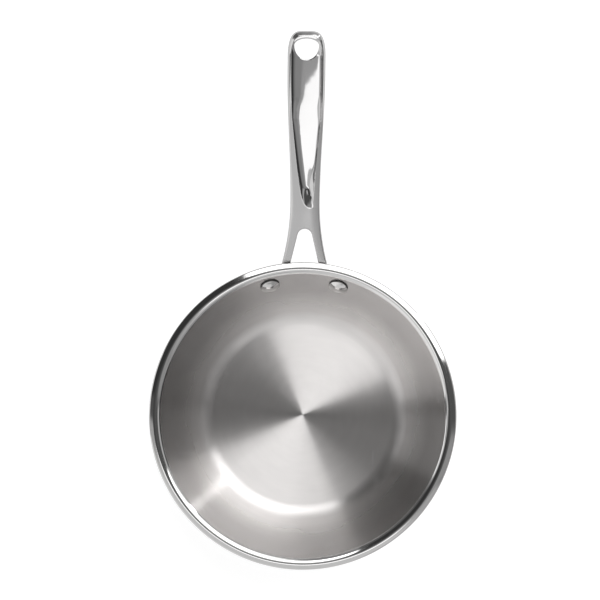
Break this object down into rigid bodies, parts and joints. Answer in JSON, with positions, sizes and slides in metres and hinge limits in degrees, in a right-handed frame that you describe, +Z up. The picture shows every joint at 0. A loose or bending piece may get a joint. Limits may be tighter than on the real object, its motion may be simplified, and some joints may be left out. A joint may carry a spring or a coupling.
{
  "type": "frying pan",
  "caption": "Stainless steel frying pan with leaning walls, a flared pouring rim, a bonded disc base and a riveted, forked cast handle with a hanging hole.",
  "frame": {"origin": "centre of the base's flat resting face", "axes": "+Z up out of the bowl, +Y from the pan's axis along the handle to its tip, +X to the right with the handle pointing away"},
  "size_m": [0.25, 0.437, 0.0916],
  "materials": {
    "body_steel": "circular-brushed satin inside, polished rim and outside",
    "core_aluminium": "plain pressed disc",
    "cap_steel": "circular-brushed magnetic steel",
    "handle_steel": "mirror-polished casting, satin root",
    "rivet_steel": "polished"
  },
  "bodies": {
    "root": {"pan_body": "body_steel", "base_core": "core_aluminium", "base_cap": "cap_steel", "handle": "handle_steel", "rivet_left": "rivet_steel", "rivet_right": "rivet_steel"}
  },
  "joints": []
}
